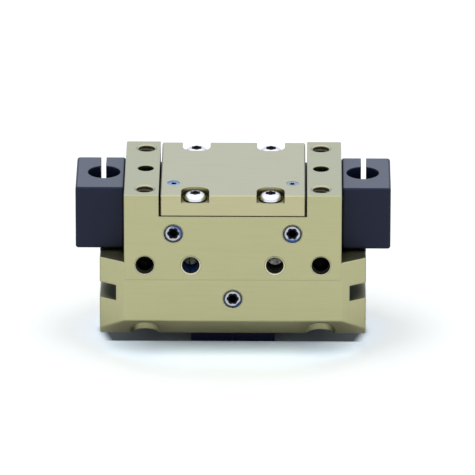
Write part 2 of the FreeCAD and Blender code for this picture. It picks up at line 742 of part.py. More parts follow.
def head_seat():
    """X of the seats of the sunk screw heads in the right-hand sensor holder."""
    return HOLDER_SIDE - CAP_HEAD_SUNK - CAP_HEAD_HEIGHT


def right_sensor_holder():
    """Moulded clamp block with a sensor bore, slit to the back, and its screw holes."""
    half = HOLDER_DEPTH / 2
    solid = block(BODY_SIDE, HOLDER_SIDE, -half, half, HOLDER_FLOOR, HOLDER_TOP)
    solid = solid.makeFillet(HOLDER_ROUND, solid.Edges)
    slit = block(SLOT_X - SLOT_WIDTH / 2, SLOT_X + SLOT_WIDTH / 2, 0, half + CUT_PAST,
                 HOLDER_FLOOR - CUT_PAST, HOLDER_TOP + CUT_PAST)
    bore = drill(SENSOR_RADIUS, vec(SENSOR_X, 0, HOLDER_TOP), DOWN, HOLDER_HEIGHT + CUT_PAST)
    cutters = [slit, bore]
    places = [(HOLDER_SCREW_Y, height) for height in holder_screw_heights()]
    places.append((CLAMP_SCREW_Y, HOLDER_MID))
    inward = RIGHT * -1
    for y, height in places:
        mouth = vec(HOLDER_SIDE, y, height)
        cutters.append(drill(CAP_HEAD_RADIUS + CAP_HEAD_ROOM, mouth, inward,
                             HOLDER_SIDE - head_seat()))
        cutters.append(drill(M3 + BORE_ROOM, mouth, inward, HOLDER_WIDTH + CUT_PAST))
    cutters.append(aimed(hex_socket(NUT_ACROSS, NUT_HEIGHT),
                         vec(BODY_SIDE, CLAMP_SCREW_Y, HOLDER_MID), inward))
    return one_solid(solid.cut(cutters))


def right_holder_screws():
    """Two screws that hold the sensor holder on the side of the housing."""
    screw = cap_screw(M3, head_seat() - BODY_SIDE + HOLDER_SCREW_REACH,
                      CAP_HEAD_RADIUS, CAP_HEAD_HEIGHT)
    return Part.makeCompound([aimed(screw, vec(head_seat(), HOLDER_SCREW_Y, height), RIGHT)
                              for height in holder_screw_heights()])


def right_clamp_screw():
    """Screw that draws the slit of the sensor holder together."""
    screw = cap_screw(M3, head_seat() - BODY_SIDE, CAP_HEAD_RADIUS, CAP_HEAD_HEIGHT)
    return aimed(screw, vec(head_seat(), CLAMP_SCREW_Y, HOLDER_MID), RIGHT)


def right_clamp_nut():
    """Hexagon nut of the clamp screw, sunk into the inner side of the holder."""
    nut = hex_socket(NUT_ACROSS, NUT_HEIGHT)
    nut = nut.cut(drill(M3, vec(0, 0, 0), DOWN, NUT_HEIGHT + CUT_PAST))
    return aimed(nut, vec(BODY_SIDE, CLAMP_SCREW_Y, HOLDER_MID), RIGHT * -1)


def main():
    """Writes one file for each piece."""
    pieces = {
        "housing": housing(),
        "cylinder_cover": cylinder_cover(),
        "cover_seal": cover_seal(),
        "cover_screws": cover_screws(),
        "cover_port_plugs": cover_port_plugs(),
        "left_gallery_plug": face_plug(-GALLERY_X, BODY_FACE, GALLERY_ROW),
        "right_gallery_plug": face_plug(GALLERY_X, BODY_FACE, GALLERY_ROW),
        "purge_port_plug": face_plug(0, LOWER_FACE, PURGE_HEIGHT),
        "rod_bush": rod_bush(),
        "rod_seal": rod_seal(),
        "lower_bumper": lower_bumper(),
        "piston": piston(),
        "piston_guide_ring": piston_guide_ring(),
        "piston_seal": piston_seal(),
        "piston_rod": piston_rod(),
        "piston_screw": piston_screw(),
        "wedge_hook": wedge_hook(),
    }
    pairs = {
        "jaw": right_jaw(),
        "sensor_holder": right_sensor_holder(),
        "holder_screws": right_holder_screws(),
        "clamp_screw": right_clamp_screw(),
        "clamp_nut": right_clamp_nut(),
    }
    for name, shape in pairs.items():
        pieces["right_" + name] = shape
        pieces["left_" + name] = mirrored(shape)
    os.makedirs("parts", exist_ok=True)
    for name, shape in pieces.items():
        shape.exportStep("parts/" + name + ".step")


main()
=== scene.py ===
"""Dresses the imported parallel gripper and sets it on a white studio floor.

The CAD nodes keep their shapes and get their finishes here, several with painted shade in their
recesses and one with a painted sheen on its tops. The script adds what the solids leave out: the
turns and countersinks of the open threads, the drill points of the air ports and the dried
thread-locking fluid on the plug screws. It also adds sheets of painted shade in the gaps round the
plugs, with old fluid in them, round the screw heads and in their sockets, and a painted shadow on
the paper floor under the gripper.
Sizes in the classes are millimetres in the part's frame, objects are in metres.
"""

import logging
import math
from abc import ABC, abstractmethod
from dataclasses import dataclass, field
from enum import Enum
from typing import Any

import bmesh
import bpy
from mathutils import Matrix, Vector


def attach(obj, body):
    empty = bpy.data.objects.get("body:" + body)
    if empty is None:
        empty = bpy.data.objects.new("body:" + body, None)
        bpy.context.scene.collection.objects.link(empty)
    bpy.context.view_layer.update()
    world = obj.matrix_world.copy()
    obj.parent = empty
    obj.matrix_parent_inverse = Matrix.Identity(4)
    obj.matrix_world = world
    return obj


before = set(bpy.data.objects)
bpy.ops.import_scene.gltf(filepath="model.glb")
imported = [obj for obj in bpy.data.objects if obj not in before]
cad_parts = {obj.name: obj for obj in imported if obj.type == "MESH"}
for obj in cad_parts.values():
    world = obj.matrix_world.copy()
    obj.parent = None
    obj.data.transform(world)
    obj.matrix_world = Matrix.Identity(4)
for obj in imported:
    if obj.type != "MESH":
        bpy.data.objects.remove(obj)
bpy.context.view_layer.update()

log = logging.getLogger("gripper")

MM = 0.001
Point = tuple[float, float, float]
Colour = tuple[float, float, float, float]
Pair = tuple[float, float]
Input = bpy.types.NodeSocket | float | Colour
Faces = list[tuple[int, ...]]

# Driving sizes of the part
TOP = 44.05
FACE = 18.4
LOWER_FACE = 18.3
ROW_DROP = 18.82
GALLERY_X = 14.85
GALLERY_DROP = 10.3
PURGE_DROP = 27.95

# Lobes of a six-lobe socket
SOCKET_LOBES = 6

# Sweep of a film that closes on itself
FULL_TURN_DEG = 360.0

# The sRGB curve: a straight foot, then a power with an offset
BYTE_TOP = 255
FOOT_TOP = 0.04045
FOOT_SLOPE = 12.92
CURVE_OFFSET = 0.055
CURVE_POWER = 2.4

# Sockets of the Mix node, which share their names: the share, two values, two colours and the result
MIX_SHARE = 0
MIX_VALUE_A = 2
MIX_VALUE_B = 3
MIX_A = 6
MIX_B = 7
MIX_COLOUR = 2
OPAQUE = (1.0,)

# Shading settings that the finishes share
GRAIN_DETAIL = 3.0
MOTTLE_DETAIL = 2.0
MOTTLE_SHARE = 0.45
GRAIN_RANGE = (0.3, 0.7)
SHEEN_NORMAL_RANGE = (0.9, 0.98)
BEVEL_SAMPLES = 8
OCCLUSION_SAMPLES = 12


class Body(Enum):
    """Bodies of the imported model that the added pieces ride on."""

    HOUSING = "housing"
    LEFT_JAW = "left_jaw"
    RIGHT_JAW = "right_jaw"


class Side(Enum):
    """The two mirrored halves of the gripper."""

    LEFT = -1
    RIGHT = 1

    def node(self, piece: str) -> str:
        """Name of the CAD node of a piece on this side."""
        return f"{self.name.lower()}_{piece}"

    def jaw_body(self) -> Body:
        """Body of the jaw on this side."""
        return Body(self.node("jaw"))


class Facing(Enum):
    """Direction out of a hole, in the part's frame."""

    UP = (0.0, 0.0, 1.0)
    DOWN = (0.0, 0.0, -1.0)
    FRONT = (0.0, -1.0, 0.0)
    BACK = (0.0, 1.0, 0.0)

    def placement(self, mouth: Point) -> Matrix:
        """Frame of a hole in metres, with its origin in the mouth and +Z out of it.

        Args:
            mouth: Centre of the mouth in millimetres.

        Returns:
            Matrix from millimetres in the hole's frame to metres in the part's frame.
        """
        turn = Vector((0.0, 0.0, 1.0)).rotation_difference(Vector(self.value))
        place = Matrix.Translation(Vector(mouth) * MM)
        return place @ turn.to_matrix().to_4x4() @ Matrix.Scale(MM, 4)


def linear(code: str) -> Colour:
    """Turns an sRGB hex colour to linear light.

    Args:
        code: Colour as #RRGGBB.

    Returns:
        Linear red, green, blue and an alpha of 1.
    """
    parts = [int(code[i:i + 2], 16) / BYTE_TOP for i in (1, 3, 5)]
    red, green, blue = (part / FOOT_SLOPE if part <= FOOT_TOP
                        else ((part + CURVE_OFFSET) / (1 + CURVE_OFFSET)) ** CURVE_POWER for part in parts)
    return red, green, blue, 1.0


def add_node(tree: bpy.types.NodeTree, kind: str, settings: dict[str, Any] | None = None,
             links: dict[str | int, Any] | None = None) -> bpy.types.Node:
    """Adds one shader node.

    Args:
        tree: Node tree that gets the node.
        kind: Blender's name of the node type.
        settings: Properties of the node by name.
        links: Input sockets by name or number, each with a socket to link or a value to set.

    Returns:
        The new node.
    """
    node = tree.nodes.new(kind)
    for key, value in (settings or {}).items():
        setattr(node, key, value)
    for key, value in (links or {}).items():
        if isinstance(value, bpy.types.NodeSocket):
            tree.links.new(value, node.inputs[key])
        else:
            node.inputs[key].default_value = value
    return node


def map_range(tree: bpy.types.NodeTree, value: Input, limits: Pair, ends: Pair = (0.0, 1.0),
              unit: float = 1.0, smooth: bool = False) -> bpy.types.NodeSocket:
    """Maps a range of values to another and holds what lies outside at its ends.

    Args:
        tree: Node tree that gets the node.
        value: Value to map.
        limits: Values at the two ends of the range.
        ends: What these two become.
        unit: Size of one unit of the limits, for lengths in metres.
        smooth: Whether the change eases in and out.

    Returns:
        Socket with the mapped value.
    """
    easing = "SMOOTHSTEP" if smooth else "LINEAR"
    node = add_node(tree, "ShaderNodeMapRange", {"interpolation_type": easing},
                    {"Value": value, "From Min": limits[0] * unit, "From Max": limits[1] * unit,
                     "To Min": ends[0], "To Max": ends[1]})
    return node.outputs[0]


def mix_colours(tree: bpy.types.NodeTree, share: Input, first: Input, second: Input,
                blend: str = "MIX") -> bpy.types.NodeSocket:
    """Lays the given share of a second colour on a first one.

    Returns:
        Socket with the mixed colour.
    """
    node = add_node(tree, "ShaderNodeMix", {"data_type": "RGBA", "blend_type": blend},
                    {MIX_SHARE: share, MIX_A: first, MIX_B: second})
    return node.outputs[MIX_COLOUR]


def compute(tree: bpy.types.NodeTree, operation: str, *values: Input) -> bpy.types.NodeSocket:
    """Applies one of Blender's math operations to its values.

    Returns:
        Socket with the result.
    """
    return add_node(tree, "ShaderNodeMath", {"operation": operation}, dict(enumerate(values))).outputs[0]


@dataclass(frozen=True)
class Finish:
    """One real surface, as a procedural material.

    A plain finish has two tones that fade into each other in grains, with a roughness that
    follows the grains and a bump as deep as the surface is rough. A finish with a painted-shade
    tone fades to it where occlusion finds holes, gaps and corners, as painted shade, and one
    with a painted-sheen tone lightens its level faces with it, as a painted sheen.
    """

    name: str
    tone: str
    second_tone: str
    metallic: float
    roughness: Pair
    grain_mm: Point
    bump_mm: float
    mottle_mm: float = 6.0
    specular: float = 0.5
    coat: float = 0.0
    coat_ior: float = 1.5
    coat_roughness: float = 0.3
    # Painted sheen on level faces, and painted shade where occlusion within these reaches finds recesses
    painted_sheen_tone: str | None = None
    painted_shade_tone: str | None = None
    shade_reach_mm: float = 3.0
    shade_occlusion_range: Pair = (0.15, 0.55)
    self_shade_mm: float | None = None
    edge_mm: float = 0.0
    tone_share: Pair = (0.0, 1.0)

    def build(self) -> bpy.types.Material:
        """Makes the material.

        Returns:
            The finished material.
        """
        material = bpy.data.materials.new(self.name)
        material.use_nodes = True
        tree = material.node_tree
        tree.nodes.clear()
        grain = self.pattern(tree, self.grain_mm, GRAIN_DETAIL)
        mottle = self.pattern(tree, (self.mottle_mm,) * 3, MOTTLE_DETAIL)
        both = add_node(tree, "ShaderNodeMix", {"data_type": "FLOAT"},
                        {MIX_SHARE: MOTTLE_SHARE, MIX_VALUE_A: grain, MIX_VALUE_B: mottle})
        share = map_range(tree, both.outputs[0], self.tone_share)
        colour = mix_colours(tree, share, linear(self.tone), linear(self.second_tone))
        colour = self.paint_level_sheen(tree, colour)
        coat: Input = self.coat
        # Painted shade: the colour fades to the shade tone and the coat thins where occlusion finds a
        # recess
        if self.painted_shade_tone is not None:
            unshaded_share = self.unshaded_share(tree)
            colour = mix_colours(tree, unshaded_share, linear(self.painted_shade_tone), colour)
            if self.coat > 0:
                coat = compute(tree, "MULTIPLY", unshaded_share, self.coat)
        bump = add_node(tree, "ShaderNodeBump", None,
                        {"Height": grain, "Strength": 1.0, "Distance": self.bump_mm * MM})
        if self.edge_mm > 0:
            rounded = add_node(tree, "ShaderNodeBevel", {"samples": BEVEL_SAMPLES},
                               {"Radius": self.edge_mm * MM})
            tree.links.new(rounded.outputs[0], bump.inputs["Normal"])
        shader = add_node(tree, "ShaderNodeBsdfPrincipled", None,
                          {"Base Color": colour, "Metallic": self.metallic,
                           "Roughness": map_range(tree, grain, GRAIN_RANGE, self.roughness),
                           "Normal": bump.outputs[0], "Specular IOR Level": self.specular,
                           "Coat Weight": coat, "Coat IOR": self.coat_ior,
                           "Coat Roughness": self.coat_roughness})
        add_node(tree, "ShaderNodeOutputMaterial", None, {"Surface": shader.outputs[0]})
        return material

    def paint_level_sheen(self, tree: bpy.types.NodeTree, colour: bpy.types.NodeSocket) -> bpy.types.NodeSocket:
        """Paints a sheen on level faces in a lighter tone of their own, where the finish has one.

        Args:
            tree: Node tree of the material.
            colour: Socket with the colour of the other faces.

        Returns:
            Socket with the colour of all faces.
        """
        if self.painted_sheen_tone is None:
            return colour
        normal = add_node(tree, "ShaderNodeTexCoord").outputs["Normal"]
        upright = add_node(tree, "ShaderNodeSeparateXYZ", None, {0: normal})
        # Painted sheen: faces that look up take the sheen tone
        level = map_range(tree, upright.outputs["Z"], SHEEN_NORMAL_RANGE)
        return mix_colours(tree, level, colour, linear(self.painted_sheen_tone))

    def unshaded_share(self, tree: bpy.types.NodeTree) -> bpy.types.NodeSocket:
        """Adds a mask of the open faces, for finishes with painted shade in their recesses.

        Args:
            tree: Node tree of the material.

        Returns:
            Socket that falls to 0 in sockets, holes and gaps.
        """
        reach = add_node(tree, "ShaderNodeAmbientOcclusion", {"samples": OCCLUSION_SAMPLES},
                         {"Distance": self.shade_reach_mm * MM}).outputs["AO"]
        if self.self_shade_mm is not None:
            own = add_node(tree, "ShaderNodeAmbientOcclusion",
                           {"samples": OCCLUSION_SAMPLES, "only_local": True},
                           {"Distance": self.self_shade_mm * MM}).outputs["AO"]
            reach = compute(tree, "MINIMUM", reach, own)
        return map_range(tree, reach, self.shade_occlusion_range)

    def pattern(self, tree: bpy.types.NodeTree, cell_mm: Point, detail: float) -> bpy.types.NodeSocket:
        """Adds a soft random pattern with cells of a real size.

        Args:
            tree: Node tree of the material.
            cell_mm: Size of one cell along X, Y and Z in millimetres.
            detail: How many finer layers lie on the pattern.

        Returns:
            Socket with values around one half.
        """
        place = add_node(tree, "ShaderNodeTexCoord")
        scale = tuple(1 / (cell * MM) for cell in cell_mm)
        mapped = add_node(tree, "ShaderNodeMapping", None,
                          {"Vector": place.outputs["Object"], "Scale": scale})
        noise = add_node(tree, "ShaderNodeTexNoise", None,
                         {"Vector": mapped.outputs[0], "Scale": 1.0, "Detail": detail})
        return noise.outputs[0]


# Hard-anodised aluminium, milled and etched before the bath: an olive satin whose oxide layer
# mutes the metal. The feed marks run along X and are drawn 4 times as wide as real to show.
# Its dark shade tone is painted shade in the holes, gaps and corners of the housing.
HOUSING_ALUMINIUM = Finish("hard_anodised_aluminium", "#B9B88A", "#B2B182", 0.95, (0.34, 0.42),
                           (14.0, 0.5, 0.5), 0.0015, coat=1.0, painted_shade_tone="#262820",
                           shade_reach_mm=2.5, shade_occlusion_range=(0.38, 0.7), self_shade_mm=6.0,
                           edge_mm=0.4)

# The same aluminium inside the tapped holes, in dark tones that paint the shade there, as the light hardly
# reaches.
THREAD_ALUMINIUM = Finish("tapped_aluminium", "#222118", "#2E2D24", 0.8, (0.40, 0.55),
                          (0.4, 0.4, 0.4), 0.001, specular=0.3, painted_shade_tone="#050504",
                          shade_reach_mm=6.0, shade_occlusion_range=(0.2, 0.45))

# The mounting threads stand open to the light, which shines on their countersinks and first crests.
MOUNT_THREAD_ALUMINIUM = Finish("open_tapped_aluminium", "#B2B098", "#C6C4AC", 0.9, (0.30, 0.45),
                                (0.4, 0.4, 0.4), 0.001)

# Countersinks of the holes in the front and back: paler than the faces round them, a painted highlight of
# their lit cones.
RIM_HIGHLIGHT_ALUMINIUM = Finish("countersink_painted_highlight", "#ECEABE", "#E2E0B2", 0.95, (0.34, 0.42),
                       (0.5, 0.5, 0.5), 0.001, coat=1.0)

# Bare drill point at the end of the right air port: bright aluminium, in streaks of a dark tone that paint
# the streaky highlight on it.
DRILLED_ALUMINIUM = Finish("drilled_aluminium", "#545140", "#FFFBE6", 0.95, (0.30, 0.40),
                           (0.8, 4.0, 4.0), 0.002, mottle_mm=1.0, tone_share=(0.38, 0.62))

# The left drill point: a darker copy of the same metal, a dark green grey with pale streaks.
DIM_POINT_ALUMINIUM = Finish("dim_drill_point_aluminium", "#0A0C08", "#98A090", 0.7, (0.26, 0.40),
                        (0.8, 4.0, 4.0), 0.004, mottle_mm=1.0, tone_share=(0.38, 0.62))

# The cover is a piece of bar from another batch in the same bath: a little lighter and warmer.
# Its shade tone is painted shade along the gaps round the cover.
COVER_ALUMINIUM = Finish("hard_anodised_aluminium_bar", "#C1BE92", "#BAB68A", 0.95, (0.34, 0.42),
                         (14.0, 0.5, 0.5), 0.0015, coat=1.0, painted_shade_tone="#807C58",
                         shade_reach_mm=4.3, shade_occlusion_range=(0.4, 0.72), edge_mm=0.4)

# Glass-filled polyamide, moulded in a spark-eroded tool: blue-black with a dull, fine grain.
# Its grey level tone is a painted sheen on its top faces; its dark shade tone is painted shade in its bores
# and recesses.
HOLDER_POLYAMIDE = Finish("glass_filled_polyamide", "#0A142E", "#0F1935", 0.0, (0.40, 0.52),
                          (0.35, 0.35, 0.35), 0.006, specular=0.3, painted_sheen_tone="#5A606F",
                          painted_shade_tone="#04050A", shade_reach_mm=12.0, shade_occlusion_range=(0.1, 0.5), edge_mm=0.6)

# Stainless steel screw heads, cold formed and tumbled: bright, with a faint orange peel.
# Its shade tone is painted shade in the sockets and recesses.
SCREW_STEEL = Finish("stainless_steel", "#F6F6F3", "#EBEAE7", 1.0, (0.16, 0.28), (0.5, 0.5, 0.5), 0.001,
                     painted_shade_tone="#08080A", shade_reach_mm=1.2, shade_occlusion_range=(0.18, 0.5), self_shade_mm=3.0)

# Zinc-plated steel plugs: a little bluer and duller than the screws.
# Its shade tone is painted shade in the sockets.
PLUG_STEEL = Finish("zinc_plated_steel", "#C9CDD0", "#B2B7BC", 1.0, (0.24, 0.36), (0.4, 0.4, 0.4), 0.001,
                    painted_shade_tone="#08080A", shade_reach_mm=3.0, shade_occlusion_range=(0.3, 0.7))

# Nitrided steel jaws, ground before the bath: black with a dull metallic sheen along X.
JAW_STEEL = Finish("nitrided_steel", "#040728", "#070B2E", 0.2, (0.34, 0.46), (8.0, 0.4, 0.4), 0.001,
                   specular=0.25)

# Hardened and ground steel of the rod and wedge: grey, with grinding lines along X.
GROUND_STEEL = Finish("ground_steel", "#B4B5B4", "#9FA09F", 1.0, (0.20, 0.34), (6.0, 0.3, 0.3), 0.001)

# Turned aluminium piston: pale, with the fine steps of the turning tool along Z.
PISTON_ALUMINIUM = Finish("turned_aluminium", "#D3D4D5", "#C2C3C5", 1.0, (0.24, 0.36),
                          (4.0, 4.0, 0.2), 0.002)

# Sintered bronze bush: brown yellow with open pores.
BUSH_BRONZE = Finish("sintered_bronze", "#A67F49", "#8A6637", 1.0, (0.38, 0.55), (0.25, 0.25, 0.25), 0.006)

# Nitrile rubber seals: black, dull and a little dusty.
SEAL_RUBBER = Finish("nitrile_rubber", "#161616", "#202020", 0.0, (0.55, 0.70), (0.4, 0.4, 0.4), 0.003)

# Filled slide plastic of the guide ring: ivory with a slight shine.
RING_PLASTIC = Finish("slide_ring_plastic", "#D8D2BC", "#CBC4AB", 0.0, (0.32, 0.42), (0.6, 0.6, 0.6), 0.002)

# Anaerobic thread-locking fluid, dried in a pool: deep blue and glossy.
POOLED_FLUID = Finish("pooled_locking_fluid", "#0A2C62", "#174A8C", 0.0, (0.18, 0.34),
                      (0.5, 0.5, 0.5), 0.006, mottle_mm=1.2, coat=0.4)

# The same fluid, old and dusty in the turns of the left air port and at the lower plug: a dull navy.
AGED_FLUID = Finish("aged_locking_fluid", "#0C2A62", "#1A4280", 0.0, (0.35, 0.55),
                    (0.5, 0.5, 0.5), 0.006, mottle_mm=1.2)

# The same fluid as a thin film on bright steel: the metal shines through it, cornflower blue.
THIN_FLUID = Finish("thin_locking_fluid", "#4F80C6", "#7BA8DC", 0.0, (0.20, 0.36),
                    (0.5, 0.5, 0.5), 0.004, mottle_mm=1.2, coat=0.3)

# Its last trace, wiped nearly off, with dirt in it: a dull grey blue.
WIPED_FLUID = Finish("wiped_locking_fluid", "#7A93A6", "#A2BCCC", 0.0, (0.28, 0.42),
                     (0.5, 0.5, 0.5), 0.002, mottle_mm=1.2)

# Painted shade in the gaps round the plugs and on their chamfers, with old fluid in it: a dark slate with a
# little blue.
GAP_SHADE_AND_FLUID = Finish("gap_shade_and_fluid", "#262F34", "#465460", 0.0, (0.30, 0.50),
                     (0.4, 0.4, 0.4), 0.006, mottle_mm=1.2)

# Painted shade round the screw heads and in the mouths of the sockets: blue-black and dead matt.
SOCKET_SHADE = Finish("socket_grime", "#14171F", "#1E222E", 0.0, (0.75, 0.90),
                      (0.3, 0.3, 0.3), 0.010, specular=0.1)


@dataclass(frozen=True)
class StudioPaper:
    """Pale background paper, overexposed to white in the picture, which keeps the lamps' shadow and has
    painted shadow and shade near the gripper.
    """

    name: str = "white_background_paper"
    tone: str = "#A9B0B4"
    mirrored: Point = (1.04, 1.05, 1.06)
    exposed: Point = (1.75, 1.99, 2.24)
    outer: Point = (1.165, 1.2, 1.22)
    reach_mm: float = 30.0
    mirror_share: Pair = (0.05, 0.6)
    mirror_level: float = 0.1
    core_y_mm: Pair = (7.0, 7.4)
    core_end_mm: Pair = (31.4, 35.4)
    core_slant: float = 0.3
    core_fade_mm: Pair = (14.0, 24.0)
    core_level: Pair = (0.155, 0.1)
    tail_share: Pair = (0.46, 0.64)
    end_x_mm: Pair = (14.0, 22.0)
    end_y_mm: Pair = (18.0, 28.0)
    end_level: float = 0.55

    def build(self) -> bpy.types.Material:
        """Makes the material.

        Returns:
            Matt paper: overexposed for the camera, with a painted shadow round the jaws; plain for the
                light
            that it sends back, except for painted shade under the base in what the metal mirrors.
        """
        material = bpy.data.materials.new(self.name)
        material.use_nodes = True
        tree = material.node_tree
        tree.nodes.clear()
        path = add_node(tree, "ShaderNodeLightPath")
        reach = add_node(tree, "ShaderNodeAmbientOcclusion", {"samples": OCCLUSION_SAMPLES},
                         {"Distance": self.reach_mm * MM}).outputs["AO"]
        # Painted shadow: occlusion near the gripper darkens the paper that the metal mirrors and shapes the
        # tail of the shadow that the camera sees
        near = map_range(tree, reach, self.mirror_share, (self.mirror_level, 1.0))
        tail = map_range(tree, reach, self.tail_share, smooth=True)
        around = mix_colours(tree, tail, self.exposed + OPAQUE, self.outer + OPAQUE)
        place = add_node(tree, "ShaderNodeSeparateXYZ", None,
                         {0: add_node(tree, "ShaderNodeTexCoord").outputs["Object"]})
        across, deep = (compute(tree, "ABSOLUTE", place.outputs[axis]) for axis in ("X", "Y"))
        under = compute(tree, "MULTIPLY", self.end_shade(tree, across, deep), near)
        mirrored = mix_colours(tree, 1.0, self.mirrored + OPAQUE, under, "MULTIPLY")
        exposed = mix_colours(tree, 1.0, around, self.core_shadow(tree, across, deep), "MULTIPLY")
        plain = mix_colours(tree, path.outputs["Is Glossy Ray"], linear(self.tone), mirrored)
        colour = mix_colours(tree, path.outputs["Is Camera Ray"], plain, exposed)
        paper = add_node(tree, "ShaderNodeBsdfDiffuse", None, {"Color": colour})
        add_node(tree, "ShaderNodeOutputMaterial", None, {"Surface": paper.outputs[0]})
        return material

    def end_shade(self, tree: bpy.types.NodeTree, across: bpy.types.NodeSocket,
                  deep: bpy.types.NodeSocket) -> bpy.types.NodeSocket:
        """Adds painted shade under the two ends of the base, for the lower chamfer to mirror.

        Args:
            tree: Node tree of the material.
            across: Distance from the middle along X.
            deep: Distance from the middle along Y.

        Returns:
            Socket that falls to the end level there.
        """
        ends = map_range(tree, across, self.end_x_mm, (1.0, self.end_level), unit=MM, smooth=True)
        beyond = map_range(tree, deep, self.end_y_mm, unit=MM, smooth=True)
        return compute(tree, "MAXIMUM", ends, beyond)

    def core_shadow(self, tree: bpy.types.NodeTree, across: bpy.types.NodeSocket,
                    deep: bpy.types.NodeSocket) -> bpy.types.NodeSocket:
        """Adds a painted core of shadow between the jaw faces, under the width of the base.

        Args:
            tree: Node tree of the material.
            across: Distance from the middle along X.
            deep: Distance from the middle along Y.

        Returns:
            Socket that falls to the core level there.
        """
        slanted = compute(tree, "MULTIPLY_ADD", deep, self.core_slant, across)
        shade = map_range(tree, across, self.core_fade_mm, self.core_level, unit=MM, smooth=True)
        for away, limits in ((deep, self.core_y_mm), (slanted, self.core_end_mm)):
            edge = map_range(tree, away, limits, unit=MM, smooth=True)
            shade = compute(tree, "MAXIMUM", shade, edge)
        return shade


class Finishes:
    """Materials of the gripper, each made once, when a piece first needs it."""

    def __init__(self) -> None:
        """Starts with no material made."""
        self.made: dict[str, bpy.types.Material] = {}

    def material(self, finish: Finish) -> bpy.types.Material:
        """Gives the material of a finish.

        Args:
            finish: Surface that the piece has.

        Returns:
            Its material.
        """
        if finish.name not in self.made:
            self.made[finish.name] = finish.build()
        return self.made[finish.name]

    def dress(self, node: str, finish: Finish) -> None:
        """Gives a CAD node its finish.

        Args:
            node: Name of the node.
            finish: Surface that it has.
        """
        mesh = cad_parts[node].data
        mesh.materials.clear()
        mesh.materials.append(self.material(finish))
        log.info("%s: %s", node, finish.name)

    def add_piece(self, shape: "HolePiece", finish: Finish, body: Body, slot: str) -> None:
        """Puts a new piece on a body.

        Args:
            shape: Name and shape of the piece.
            finish: Its surface.
            body: Body that it moves with.
            slot: The record's material slot that it belongs to; not used.
        """
        mesh = shape.build()
        piece = bpy.data.objects.new(shape.name, mesh)
        bpy.context.scene.collection.objects.link(piece)
        mesh.materials.append(self.material(finish))
        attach(piece, body.value)
        log.info("%s: %s on %s", shape.name, finish.name, body.value)


def tube_faces(rings: int, corners: int, closed: bool) -> Faces:
    """Faces of a tube of equal rings of points.

    Args:
        rings: Number of rings along the tube.
        corners: Number of points in each ring.
        closed: Whether the last ring joins the first.

    Returns:
        Corner numbers of each face, with the two ends capped unless the tube is closed.
    """
    faces: Faces = []
    for ring in range(rings if closed else rings - 1):
        here = ring * corners
        there = (ring + 1) % rings * corners
        for corner in range(corners):
            after = (corner + 1) % corners
            faces.append((here + corner, here + after, there + after, there + corner))
    if not closed:
        last = (rings - 1) * corners
        faces.append(tuple(range(corners)))
        faces.append(tuple(last + corner for corner in range(corners)))
    return faces


@dataclass(frozen=True)
class HolePiece(ABC):
    """Small piece at a hole, wrapped round a row of equal rings of points."""

    name: str
    mouth: Point
    facing: Facing

    @abstractmethod
    def build(self) -> bpy.types.Mesh:
        """Makes the mesh of the piece in the part's frame."""

    def wrap(self, points: list[Point], rings: int, closed: bool, sharp_deg: float) -> bpy.types.Mesh:
        """Wraps the rings in faces.

        Args:
            points: Corners in millimetres in the hole's frame, ring by ring.
            rings: Number of rings.
            closed: Whether the last ring joins the first.
            sharp_deg: Edges that bend by more than this stay sharp.

        Returns:
            The mesh in the part's frame, with its normals outward.
        """
        mesh = bpy.data.meshes.new(self.name)
        mesh.from_pydata(points, [], tube_faces(rings, len(points) // rings, closed))
        mesh.transform(self.facing.placement(self.mouth))
        work = bmesh.new()
        work.from_mesh(mesh)
        bmesh.ops.recalc_face_normals(work, faces=work.faces)
        work.to_mesh(mesh)
        work.free()
        mesh.shade_smooth()
        mesh.set_sharp_from_angle(angle=math.radians(sharp_deg))
        return mesh


@dataclass(frozen=True)
class ThreadTurns(HolePiece):
    """Turns of an internal metric thread between two depths of a hole."""

    radius: float
    pitch: float
    start: float
    end: float
    steps_per_turn: int = 36
    sunk: float = 0.04
    run_out_turns: float = 0.25
    crest_height_per_pitch: float = 0.541
    root_width_per_pitch: float = 0.84
    crest_width_per_pitch: float = 0.25
    sharp_deg: float = 35.0

    def build(self) -> bpy.types.Mesh:
        """Makes the ridge that winds down the wall, right-handed, fading out at both ends.

        Returns:
            The mesh of the ridge.
        """
        turns = (self.end - self.start) / self.pitch
        steps = round(turns * self.steps_per_turn)
        root = self.radius + self.sunk
        height = self.crest_height_per_pitch * self.pitch + self.sunk
        wide = self.root_width_per_pitch * self.pitch / 2
        narrow = self.crest_width_per_pitch * self.pitch / 2
        rings = steps + 1
        points: list[Point] = []
        for step in range(rings):
            turned = step / self.steps_per_turn
            fade = min(1.0, turned / self.run_out_turns, (turns - turned) / self.run_out_turns)
            crest = root - height * max(fade, 0.0)
            depth = self.start + turned * self.pitch
            angle = -2 * math.pi * turned
            for reach, offset in ((root, -wide), (crest, -narrow), (crest, narrow), (root, wide)):
                points.append((reach * math.cos(angle), reach * math.sin(angle), -depth - offset))
        return self.wrap(points, rings, False, self.sharp_deg)


@dataclass(frozen=True)
class ConeRing(HolePiece):
    """Cone that a drill left at the end of a hole or a countersink at its mouth."""

    outer: float
    inner: float
    depth: float
    slope: float = 0.5
    skin: float = 0.03
    sunk: float = 0.02
    steps: int = 48
    sharp_deg: float = 35.0

    def build(self) -> bpy.types.Mesh:
        """Makes the ring.

        Returns:
            The mesh of the ring.
        """
        far = self.depth + self.slope * (self.outer - self.inner)
        section = ((self.outer, self.depth + self.sunk), (self.inner, far + self.sunk),
                   (self.inner, far - self.skin), (self.outer, self.depth - self.skin))
        points: list[Point] = []
        for step in range(self.steps):
            angle = 2 * math.pi * step / self.steps
            points += [(reach * math.cos(angle), reach * math.sin(angle), -deep)
                       for reach, deep in section]
        return self.wrap(points, self.steps, True, self.sharp_deg)


